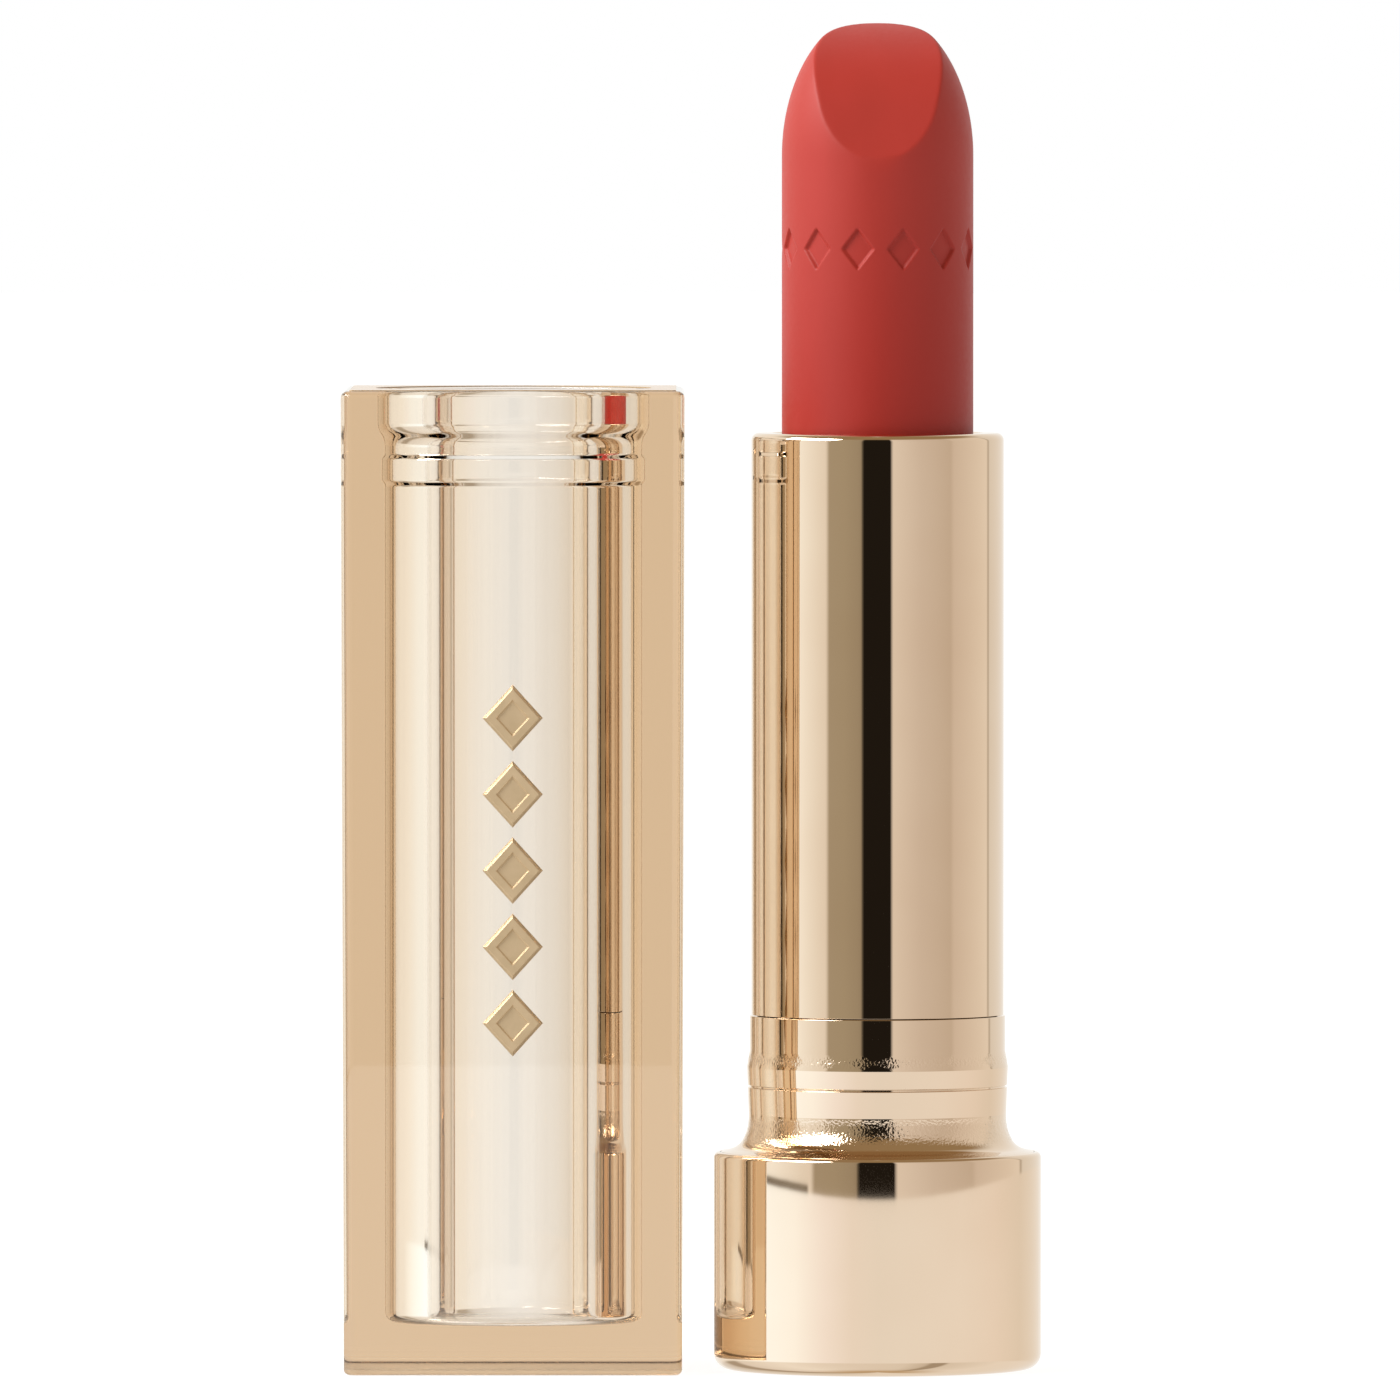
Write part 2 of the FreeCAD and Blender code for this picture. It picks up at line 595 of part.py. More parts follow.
os.makedirs("parts", exist_ok=True)
for node in NODES:
    node.Shape.exportStep("parts/%s.step" % node.Label)
    box = node.Shape.BoundBox
    print("%-14s %2d solid(s) %8.1f mm3  x %.2f..%.2f  y %.2f..%.2f  z %.2f..%.2f" % (
        node.Label, len(node.Shape.Solids), node.Shape.Volume,
        box.XMin, box.XMax, box.YMin, box.YMax, box.ZMin, box.ZMax))
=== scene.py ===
import math

import bmesh
import bpy
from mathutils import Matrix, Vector


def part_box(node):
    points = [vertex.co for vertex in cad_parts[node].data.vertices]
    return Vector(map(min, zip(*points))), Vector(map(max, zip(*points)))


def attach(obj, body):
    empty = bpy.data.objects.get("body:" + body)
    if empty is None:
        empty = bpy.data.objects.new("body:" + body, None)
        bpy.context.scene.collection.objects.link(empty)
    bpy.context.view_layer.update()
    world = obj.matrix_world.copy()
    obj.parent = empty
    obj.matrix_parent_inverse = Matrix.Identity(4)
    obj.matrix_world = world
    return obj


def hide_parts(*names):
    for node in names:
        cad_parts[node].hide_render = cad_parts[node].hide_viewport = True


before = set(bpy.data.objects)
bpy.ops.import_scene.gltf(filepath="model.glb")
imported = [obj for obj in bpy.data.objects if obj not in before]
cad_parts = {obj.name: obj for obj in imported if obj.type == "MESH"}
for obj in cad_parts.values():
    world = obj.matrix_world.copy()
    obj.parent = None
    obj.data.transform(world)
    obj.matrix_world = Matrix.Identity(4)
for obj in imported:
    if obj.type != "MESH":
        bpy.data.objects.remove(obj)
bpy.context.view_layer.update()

# The visual model of the lipstick case. Lengths are in metres, so a number of millimetres
# is written times MM. Places and main sizes come from the boxes of the CAD nodes.
MM = 0.001
TURN = 2 * math.pi
SEGMENTS = 224           # points round a turned piece
ARC_STEPS = 7            # points on one rounded corner
CRISP = 0.03 * MM        # rounding of an edge that only has to look sharp
ON_AXIS = 1e-9           # a radius below this is a pole of a turned skin

shell_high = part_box("base_shell")[1]
collar_low, collar_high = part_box("collar")
tube_low, tube_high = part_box("tube_shell")
bullet_low, bullet_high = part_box("bullet")
block_low, block_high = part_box("cap_block")
ornament_low, ornament_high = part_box("cap_emblem")


# --- Shared mesh work ---------------------------------------------------------------------

def turned_by(vector, angle):
    """A flat vector turned counter-clockwise."""
    return Vector((vector.x * math.cos(angle) - vector.y * math.sin(angle),
                   vector.x * math.sin(angle) + vector.y * math.cos(angle)))


def rounded_outline(corners, closed=False):
    """Points and outward normals along (across, height, rounding) corners.

    The outline runs counter-clockwise, so the solid is on its left."""
    places = [Vector(corner[:2]) for corner in corners]
    count = len(corners)
    samples = []
    for index, here in enumerate(places):
        before = places[index - 1]
        after = places[(index + 1) % count]
        arrive = (here - before).normalized()
        leave = (after - here).normalized()
        if not closed and index == 0:
            samples.append((here, turned_by(leave, -TURN / 4)))
            continue
        if not closed and index == count - 1:
            samples.append((here, turned_by(arrive, -TURN / 4)))
            continue
        rounding = corners[index][2]
        bend = math.atan2(arrive.cross(leave), arrive.dot(leave))
        side = math.copysign(1, bend)
        start = here - arrive * rounding * math.tan(abs(bend) / 2)
        middle = start + turned_by(arrive, side * TURN / 4) * rounding
        for step in range(ARC_STEPS + 1):
            normal = turned_by(arrive, -TURN / 4 + bend * step / ARC_STEPS)
            samples.append((middle + normal * rounding * side, normal))
    return samples


def link_mesh(name, points, faces, normals=None):
    """A smooth-shaded object from points and faces, with exact normals when they are known."""
    mesh = bpy.data.meshes.new(name)
    mesh.from_pydata(points, [], faces)
    for face in mesh.polygons:
        face.use_smooth = True
    if normals:
        mesh.normals_split_custom_set_from_vertices(normals)
    mesh.update()
    piece = bpy.data.objects.new(name, mesh)
    bpy.context.scene.collection.objects.link(piece)
    return piece


def skin_rings(rings, count, closed=False):
    """Faces between rings of point numbers. A ring of one number is a pole."""
    faces = []
    pairs = list(zip(rings, rings[1:]))
    if closed:
        pairs.append((rings[-1], rings[0]))
    for lower, upper in pairs:
        for step in range(count):
            following = (step + 1) % count
            if len(lower) == 1:
                faces.append((lower[0], upper[following], upper[step]))
            elif len(upper) == 1:
                faces.append((lower[step], lower[following], upper[0]))
            else:
                faces.append((lower[step], lower[following], upper[following], upper[step]))
    return faces


def lathe(name, corners, closed=False):
    """A piece turned about Z from an outline of (radius, height, rounding) corners."""
    points = []
    normals = []
    rings = []
    for place, normal in rounded_outline(corners, closed):
        if place.x < ON_AXIS:
            rings.append([len(points)])
            points.append((0, 0, place.y))
            normals.append((0, 0, math.copysign(1, normal.y)))
            continue
        rings.append(list(range(len(points), len(points) + SEGMENTS)))
        for step in range(SEGMENTS):
            cosine = math.cos(TURN * step / SEGMENTS)
            sine = math.sin(TURN * step / SEGMENTS)
            points.append((place.x * cosine, place.x * sine, place.y))
            normals.append((normal.x * cosine, normal.x * sine, normal.y))
    return link_mesh(name, points, skin_rings(rings, SEGMENTS, closed), normals)


# --- Materials ----------------------------------------------------------------------------

class Graph:
    """Adds nodes to a node tree and links them."""

    def __init__(self, tree):
        self.nodes = tree.nodes
        self.links = tree.links

    def feed(self, socket, value):
        """Link a socket to an output, or set it to a plain value."""
        if isinstance(value, bpy.types.NodeSocket):
            self.links.new(value, socket)
        else:
            socket.default_value = value

    def add(self, kind, settings=None, **inputs):
        """A new node with its settings and its inputs, outputs of other nodes or values."""
        node = self.nodes.new(kind)
        for key, value in (settings or {}).items():
            setattr(node, key, value)
        for key, value in inputs.items():
            self.feed(node.inputs[key.replace("_", " ")], value)
        return node

    def work(self, operation, *values):
        """The result of a math node."""
        node = self.add("ShaderNodeMath", {"operation": operation})
        for socket, value in zip(node.inputs, values):
            self.feed(socket, value)
        return node.outputs[0]

    def slide(self, value, start, end, low=0.0, high=1.0):
        """From low at start to high at end, smoothly, and level beyond them."""
        node = self.add("ShaderNodeMapRange", {"interpolation_type": "SMOOTHSTEP"})
        for socket, amount in zip(node.inputs, (value, start, end, low, high)):
            self.feed(socket, amount)
        return node.outputs["Result"]

    def hump(self, value, edges):
        """1 between the middle two edges, falling to 0 at the outer two."""
        return self.work("MULTIPLY", self.slide(value, edges[0], edges[1]),
                         self.slide(value, edges[3], edges[2]))

    def blend(self, factor, first, second):
        """The first colour at factor 0, the second at 1."""
        node = self.add("ShaderNodeMix", {"data_type": "RGBA"})
        self.feed(node.inputs["Factor"], factor)
        self.feed(node.inputs[6], first)
        self.feed(node.inputs[7], second)
        return node.outputs[2]

    def round_ramp(self, place, stops):
        """Colours by azimuth, from 0 at -180 degrees to 1 at 180 degrees."""
        ramp = self.add("ShaderNodeValToRGB")
        self.feed(ramp.inputs["Fac"], place)
        elements = ramp.color_ramp.elements
        elements[0].position = 0
        elements[1].position = 1
        for degrees, _ in stops[1:-1]:
            elements.new(degrees / 360 + 0.5)
        for element, (_, colour) in zip(elements, stops):
            element.color = (*(part / GREATEST for part in colour), 1)
        return ramp.outputs["Color"]


def new_material(name):
    """A node material, its Principled shader and its graph."""
    material = bpy.data.materials.new(name)
    material.use_nodes = True
    shader = material.node_tree.nodes["Principled BSDF"]
    return material, shader, Graph(material.node_tree)


def set_sockets(shader, **values):
    """Set plain values on the shader's own sockets."""
    for key, value in values.items():
        shader.inputs[key.replace("_", " ")].default_value = value


def grain(graph, scale, detail=3.0, stretch=None):
    """Noise in the piece's own coordinates, finer as scale grows (in cells per metre)."""
    place = graph.add("ShaderNodeTexCoord").outputs["Object"]
    if stretch:
        place = graph.add("ShaderNodeMapping", Vector=place, Scale=stretch).outputs["Vector"]
    return graph.add("ShaderNodeTexNoise", Vector=place, Scale=scale, Detail=detail).outputs["Fac"]


def object_height(graph):
    """Height in the piece's own coordinates."""
    place = graph.add("ShaderNodeTexCoord").outputs["Object"]
    return graph.add("ShaderNodeSeparateXYZ", Vector=place).outputs["Z"]


def mottled(graph, factor, dark, light):
    """A colour that drifts between two tones."""
    ramp = graph.add("ShaderNodeValToRGB", Fac=factor)
    for element, position, tone in zip(ramp.color_ramp.elements, (0.3, 0.7), (dark, light)):
        element.position = position
        element.color = (*tone, 1)
    return ramp.outputs["Color"]


def spread(graph, factor, low, high):
    """A number that drifts between two values."""
    return graph.add("ShaderNodeMapRange", Value=factor, To_Min=low, To_Max=high).outputs["Result"]


def finish_material(name, dark, light, roughness, scale, bump=0.0, stretch=None, **sockets):
    """A Principled material with colour, roughness and relief from one noise."""
    material, shader, graph = new_material(name)
    noise = grain(graph, scale, stretch=stretch)
    graph.feed(shader.inputs["Base Color"], mottled(graph, noise, dark, light))
    graph.feed(shader.inputs["Roughness"], spread(graph, noise, *roughness))
    if bump:
        relief = graph.add("ShaderNodeBump", Height=noise, Distance=bump)
        graph.feed(shader.inputs["Normal"], relief.outputs["Normal"])
    set_sockets(shader, **sockets)
    return material


GOLD_DARK = (0.780, 0.610, 0.450)
GOLD_LIGHT = (0.810, 0.650, 0.490)
GOLD_DRIFT = 90.0                # cells per metre of the slow drift in its colour
POLISHED = (0.006, 0.010)        # roughness over that drift
GRAIN_BANDS = (                  # heights of the collar that carry the fine grain
    (14.2 * MM, 16.1 * MM),
    (19.2 * MM, 20.1 * MM),
)
GRAIN_SCALE = 6400.0             # cells per metre
GRAIN_RELIEF = 0.026 * MM
GRAIN_FADE = 0.35 * MM           # over this height a band fades in
GRAIN_ROUGHNESS = (0.008, 0.075)    # outside and inside the bands


def gold_material(name, grainy_bands=()):
    """Polished champagne gold. Bands of height carry the fine grain of thin metallising."""
    material, shader, graph = new_material(name)
    drift = grain(graph, GOLD_DRIFT)
    graph.feed(shader.inputs["Base Color"], mottled(graph, drift, GOLD_DARK, GOLD_LIGHT))
    set_sockets(shader, Metallic=1.0)
    if not grainy_bands:
        graph.feed(shader.inputs["Roughness"], spread(graph, drift, *POLISHED))
        return material
    height = object_height(graph)
    cover = 0.0
    for low, high in grainy_bands:
        away = graph.work("ABSOLUTE", graph.work("SUBTRACT", height, (low + high) / 2))
        half = (high - low) / 2
        band = graph.add("ShaderNodeMapRange", Value=away, From_Min=half,
                         From_Max=half - GRAIN_FADE)
        cover = graph.work("MAXIMUM", cover, band.outputs["Result"])
    relief = graph.add("ShaderNodeBump", Height=grain(graph, GRAIN_SCALE, 1.0),
                       Distance=GRAIN_RELIEF, Strength=cover)
    graph.feed(shader.inputs["Normal"], relief.outputs["Normal"])
    graph.feed(shader.inputs["Roughness"], spread(graph, cover, *GRAIN_ROUGHNESS))
    return material


# --- Base, collar and tube ----------------------------------------------------------------

BASE_WALL = 0.42 * MM
BASE_FLOOR = 0.8 * MM
BASE_FOOT_ROUND = 1.0 * MM
BASE_RIM_ROUND = 0.36 * MM
RECESS_RADIUS = 7.4 * MM
RECESS_DEPTH = 0.2 * MM
base_radius = shell_high.x
base_top = shell_high.z


def make_base():
    """The drawn base cup with its round foot and the recess underneath."""
    inside = base_radius - BASE_WALL
    return lathe("base_gold", (
        (0, RECESS_DEPTH, 0),
        (RECESS_RADIUS, RECESS_DEPTH, CRISP),
        (RECESS_RADIUS, 0, CRISP),
        (base_radius, 0, BASE_FOOT_ROUND),
        (base_radius, base_top, BASE_RIM_ROUND),
        (inside, base_top, CRISP),
        (inside, BASE_FLOOR, CRISP),
        (0, BASE_FLOOR, 0),
    ))


COLLAR_BORE = 7.6 * MM
FLARE_RADIUS = 8.75 * MM         # the flare bends up here in a tight round
FLARE_LOW = 14.05 * MM
FLARE_LOW_ROUND = 1.3 * MM
FLARE_HIGH = 15.2 * MM           # and joins the neck here in a wide one
FLARE_HIGH_ROUND = 2.8 * MM
NECK_RADIUS = 8.15 * MM
NECK_TOP = 16.15 * MM
GROOVE = (17.84 * MM, 17.98 * MM)
GROOVE_RADIUS = 8.1 * MM
GROOVE_EDGE_RADIUS = 8.21 * MM
RIDGE_RADIUS = 8.26 * MM
RIDGE_HEIGHT = 19.14 * MM
RIDGE_ROUND = 0.2 * MM
UPPER_RADIUS = 8.08 * MM
UPPER_START = 20.15 * MM
UPPER_START_ROUND = 0.3 * MM
UPPER_EDGE_ROUND = 0.05 * MM


def make_collar():
    """The collar: flange, hollow flare, neck, fine groove, snap ridge, upper part."""
    flange_radius = collar_high.x
    return lathe("collar_gold", (
        (COLLAR_BORE, collar_low.z, CRISP),
        (flange_radius, collar_low.z, CRISP),
        (flange_radius, base_top, CRISP),
        (FLARE_RADIUS, FLARE_LOW, FLARE_LOW_ROUND),
        (NECK_RADIUS, FLARE_HIGH, FLARE_HIGH_ROUND),
        (NECK_RADIUS, NECK_TOP, CRISP),
        (GROOVE_EDGE_RADIUS, GROOVE[0], CRISP),
        (GROOVE_RADIUS, GROOVE[0], CRISP),
        (GROOVE_RADIUS, GROOVE[1], CRISP),
        (GROOVE_EDGE_RADIUS, GROOVE[1], CRISP),
        (RIDGE_RADIUS, RIDGE_HEIGHT, RIDGE_ROUND),
        (UPPER_RADIUS, UPPER_START, UPPER_START_ROUND),
        (UPPER_RADIUS, collar_high.z, UPPER_EDGE_ROUND),
        (COLLAR_BORE, collar_high.z, CRISP),
    ), closed=True)


TUBE_BORE = 7.53 * MM
TUBE_DROP = 0.03 * MM            # leaves a fine seam above the collar
MOUTH_ROUND = 0.48 * MM
LIP_RADIUS = 6.55 * MM
LIP_THICKNESS = 0.55 * MM
LIP_ROUND = 0.2 * MM


def make_tube():
    """The tube, whose mouth turns in."""
    lip_underside = tube_high.z - LIP_THICKNESS
    foot = tube_low.z - TUBE_DROP
    return lathe("tube_gold", (
        (TUBE_BORE, foot, CRISP),
        (tube_high.x, foot, CRISP),
        (tube_high.x, tube_high.z, MOUTH_ROUND),
        (LIP_RADIUS, tube_high.z, LIP_ROUND),
        (LIP_RADIUS, lip_underside, CRISP),
        (TUBE_BORE, lip_underside, CRISP),
    ), closed=True)


# --- Bullet -------------------------------------------------------------------------------

BULLET_SEGMENTS = 480
DOME_STEPS = 110
DOME_HEIGHT = 9.2 * MM
SHOULDER_ABOVE_ROOT = 26.58 * MM
CUT_BELOW_SHOULDER = 0.3 * MM
CUT_ANGLE = math.radians(63.5)
CUT_FLAT = 3.8 * MM          # the cut is flat so far up its slope, then bends over the top
CUT_CROWN = 10.0 * MM
EDGE_SOFTNESS = 170          # the larger, the sharper the edge of the slanted cut
OUT_OF_REACH = 1.0           # a distance that stands for no cut
NEARLY_LEVEL = 1e-6          # a direction that slopes less than this never meets the cut
SIDE_STEP = 0.8 * MM         # height of one ring of faces on the plain sides
MOTIF_STEP = 0.07 * MM       # and on the motif
MOTIF_BELOW_SHOULDER = 5.85 * MM
MOTIF_COUNT = 13
MOTIF_TURN = 0.2             # share of one pitch by which the ring of lozenges is turned
MOTIF_WIDTH = 2.2 * MM
MOTIF_HEIGHT = 2.75 * MM
MOTIF_DEPTH = 0.22 * MM
MOTIF_EDGE = 0.2 * MM
bullet_radius = bullet_high.x
shoulder = bullet_low.z + SHOULDER_ABOVE_ROOT
cut_level = shoulder - CUT_BELOW_SHOULDER
motif_middle = shoulder - MOTIF_BELOW_SHOULDER


def soft_smaller(first, second):
    """The smaller of two distances, with the corner between them rounded."""
    low, high = sorted((first, second))
    return low * (1 + (low / high) ** EDGE_SOFTNESS) ** (-1 / EDGE_SOFTNESS)


def cut_distance(direction, level):
    """How far the slanted cut is from a place on the axis, along a direction."""
    def in_cut_frame(y, z):
        """Along the cut's slope, and out from it."""
        return Vector((y * math.cos(CUT_ANGLE) + z * math.sin(CUT_ANGLE),
                       z * math.cos(CUT_ANGLE) - y * math.sin(CUT_ANGLE)))

    start = in_cut_frame(bullet_radius, level - cut_level)
    step = in_cut_frame(direction.y, direction.z)
    if step.y > NEARLY_LEVEL:
        reach = -start.y / step.y
        if start.x + reach * step.x <= CUT_FLAT:
            return reach
    offset = start - Vector((CUT_FLAT, -CUT_CROWN))
    steepness = step.length_squared
    inside = offset.dot(step) ** 2 - steepness * (offset.length_squared - CUT_CROWN ** 2)
    if steepness < NEARLY_LEVEL or inside < 0:
        return OUT_OF_REACH
    reach = (math.sqrt(inside) - offset.dot(step)) / steepness
    if reach <= 0 or start.x + reach * step.x < CUT_FLAT:
        return OUT_OF_REACH
    return reach


def motif_dent(around, height):
    """Depth of the pressed ring of plain lozenges at an angle and height."""
    pitch = TURN / MOTIF_COUNT
    turned = around / pitch + MOTIF_TURN
    across = (turned - math.floor(turned) - 0.5) * pitch * bullet_radius
    spread_out = abs(across) / (MOTIF_WIDTH / 2) + abs(height - motif_middle) / (MOTIF_HEIGHT / 2)
    press = min(max((1 - spread_out) * MOTIF_WIDTH / 2 / MOTIF_EDGE, 0), 1)
    return MOTIF_DEPTH * press * press * (3 - 2 * press)


def make_bullet():
    """The bullet: straight sides with a pressed motif, an egg-shaped top and a slanted cut."""
    heights = [bullet_low.z + CRISP]
    fine_low = motif_middle - MOTIF_HEIGHT / 2 - MOTIF_EDGE
    fine_high = motif_middle + MOTIF_HEIGHT / 2 + MOTIF_EDGE
    while heights[-1] < shoulder:
        fine = fine_low < heights[-1] < fine_high
        heights.append(heights[-1] + (MOTIF_STEP if fine else SIDE_STEP))
    heights[-1] = shoulder
    points = [(0, 0, bullet_low.z)]
    rings = [[0]]

    def add_ring(start, tilt):
        rings.append(list(range(len(points), len(points) + BULLET_SEGMENTS)))
        for step in range(BULLET_SEGMENTS):
            around = TURN * step / BULLET_SEGMENTS
            direction = Vector((math.cos(around) * math.cos(tilt),
                                math.sin(around) * math.cos(tilt), math.sin(tilt)))
            dome = ((math.cos(tilt) / bullet_radius) ** 2
                    + (math.sin(tilt) / DOME_HEIGHT) ** 2) ** -0.5
            reach = soft_smaller(dome, cut_distance(direction, start.z))
            if tilt == 0:
                reach -= motif_dent(around, start.z)
            points.append(start + direction * reach)

    foot = bullet_radius - CRISP
    rings.append(list(range(1, 1 + BULLET_SEGMENTS)))
    for step in range(BULLET_SEGMENTS):
        around = TURN * step / BULLET_SEGMENTS
        points.append((foot * math.cos(around), foot * math.sin(around), bullet_low.z))
    for height in heights:
        add_ring(Vector((0, 0, height)), 0)
    for step in range(1, DOME_STEPS):
        add_ring(Vector((0, 0, shoulder)), TURN / 4 * step / DOME_STEPS)
    rings.append([len(points)])
    top = soft_smaller(DOME_HEIGHT, cut_distance(Vector((0, 0, 1)), shoulder))
    points.append((0, 0, shoulder + top))
    return link_mesh("bullet_wax", points, skin_rings(rings, BULLET_SEGMENTS))


# --- Cap ----------------------------------------------------------------------------------

CAP_SIDE_ROUND = 0.8 * MM
FOOT_ROUND = 0.35 * MM
CAP_MOUTH_ROUND = 0.45 * MM
BORE_RADIUS = 8.15 * MM
BORE_FLOOR = 3.0 * MM
BORE_FLOOR_ROUND = 0.6 * MM
COUNTERBORE = 8.6 * MM
COUNTERBORE_EDGE = 0.12 * MM
COUNTERBORE_END = (2.5 * MM, 3.3 * MM)   # depths below the mouth where its slope starts, ends
COUNTERBORE_ROUND = 1.4 * MM
SNAP_RADIUS = 8.33 * MM
SNAP_DEPTHS = (4.1 * MM, 4.4 * MM, 5.8 * MM, 6.1 * MM)   # slope in, floor, slope out
SNAP_ROUND = 0.3 * MM
MOUTH_SPLIT = 1.2 * MM       # out from the counterbore, where the two outlines meet
RIM_THICKNESS = 0.05 * MM
RIM_SINK = 0.06 * MM         # how far below the plate's face the clear block ends
RIM_INSET = 0.55 * MM
RIM_HOLE = 8.75 * MM
SHARP_ANGLE = math.radians(40)
SIDE_POINTS = 41             # points along one flat side
CORNER_POINTS = 11           # points on one upright rounded edge
FOOT_HALF = 10.65 * MM
cap_middle = (block_low + block_high) / 2
mouth_half = block_high.x - cap_middle.x
cap_height = block_high.z
glass_top = cap_height - RIM_SINK


def cap_loop():
    """Round the block: (side turn, share along the side, corner angle) of each point.

    A point on a flat side has a share, and a point on a rounded edge has an angle."""
    loop = []
    for side in range(4):
        turn = side * TURN / 4
        for step in range(SIDE_POINTS):
            share = -1 + 2 * step / (SIDE_POINTS - 1)
            loop.append((turn, math.sin(share * TURN / 4), None))
        for step in range(1, CORNER_POINTS):
            loop.append((turn, 1, TURN / 4 * step / CORNER_POINTS))
    return loop


def block_point(entry, half, inset):
    """Flat place and flat normal of a loop point on a block of one half width, set in."""
    turn, share, angle = entry
    straight = half - CAP_SIDE_ROUND
    if angle is None:
        normal = Vector((1, 0))
        place = Vector((half - inset, share * straight))
    else:
        normal = Vector((math.cos(angle), math.sin(angle)))
        place = Vector((straight, straight)) + normal * (CAP_SIDE_ROUND - inset)
    return turned_by(place, turn), turned_by(normal, turn)


def make_cap():
    """The clear block with its bore, as one closed skin."""
    split = COUNTERBORE + MOUTH_SPLIT
    bore_corners = (
        (split, glass_top, 0),
        (COUNTERBORE, glass_top, COUNTERBORE_EDGE),
        (COUNTERBORE, cap_height - COUNTERBORE_END[0], COUNTERBORE_ROUND),
        (BORE_RADIUS, cap_height - COUNTERBORE_END[1], COUNTERBORE_ROUND),
        (BORE_RADIUS, cap_height - SNAP_DEPTHS[0], SNAP_ROUND),
        (SNAP_RADIUS, cap_height - SNAP_DEPTHS[1], SNAP_ROUND),
        (SNAP_RADIUS, cap_height - SNAP_DEPTHS[2], SNAP_ROUND),
        (BORE_RADIUS, cap_height - SNAP_DEPTHS[3], SNAP_ROUND),
        (BORE_RADIUS, BORE_FLOOR, BORE_FLOOR_ROUND),
        (0, BORE_FLOOR, 0),
    )
    block_corners = (
        (0, 0, 0),
        (FOOT_HALF, 0, FOOT_ROUND),
        (mouth_half, glass_top, CAP_MOUTH_ROUND),
        (split, glass_top, 0),
    )
    loop = cap_loop()
    count = len(loop)
    points = []
    normals = []
    rings = []

    def add_pole(height, up):
        rings.append([len(points)])
        points.append((cap_middle.x, cap_middle.y, height))
        normals.append((0, 0, up))

    def add_ring(places):
        rings.append(list(range(len(points), len(points) + count)))
        for flat, flat_normal, height, tilt in places:
            points.append((cap_middle.x + flat.x, cap_middle.y + flat.y, height))
            normals.append((flat_normal.x * tilt.x, flat_normal.y * tilt.x, tilt.y))

    for place, normal in rounded_outline(block_corners)[:-1]:
        if place.x < ON_AXIS:
            add_pole(place.y, -1)
            continue
        half = FOOT_HALF + (mouth_half - FOOT_HALF) * place.y / cap_height
        spots = [block_point(entry, half, half - place.x) for entry in loop]
        add_ring([(flat, out, place.y, normal) for flat, out in spots])
    for place, normal in rounded_outline(bore_corners)[1:]:
        if place.x < ON_AXIS:
            add_pole(place.y, 1)
            continue
        spots = []
        for entry in loop:
            out = block_point(entry, FOOT_HALF, 0)[0].normalized()
            spots.append((out * place.x, out, place.y, normal))
        add_ring(spots)
    return link_mesh("cap_clear", points, skin_rings(rings, count), normals)


def make_painted_glow_rim():
    """The cut face of the cap's mouth. Its opaque amber colour is painted light: the glow that the
    tint of the whole length gathers there.

    It is a thin square plate with a round hole, let into the top of the block."""
    loop = cap_loop()
    count = len(loop)
    outer = [block_point(entry, mouth_half, RIM_INSET)[0] for entry in loop]
    inner = [place.normalized() * RIM_HOLE for place in outer]
    points = []
    rings = []
    for flats, height in ((inner, cap_height), (inner, cap_height - RIM_THICKNESS),
                          (outer, cap_height - RIM_THICKNESS), (outer, cap_height)):
        rings.append(list(range(len(points), len(points) + count)))
        points += [(cap_middle.x + flat.x, cap_middle.y + flat.y, height) for flat in flats]
    rim = link_mesh("cap_rim_painted_glow", points, skin_rings(rings, count, closed=True))
    rim.data.set_sharp_from_angle(angle=SHARP_ANGLE)
    return rim


# --- Ornament -----------------------------------------------------------------------------

ORNAMENT_COUNT = 5
LOZENGE_LENGTH = 4.2 * MM
RELIEF = 0.35 * MM
# Each step of a lozenge: its share of the full size, and how far out from the face.
LOZENGE_STEPS = (
    (1.0, 0.0),
    (0.94, RELIEF - 0.1 * MM),
    (0.86, RELIEF),
    (0.56, RELIEF),
    (0.49, RELIEF - 0.12 * MM),
)
BEVEL = 0.03 * MM
BEVEL_ANGLE = math.radians(8)    # edges that bend more than this are bevelled


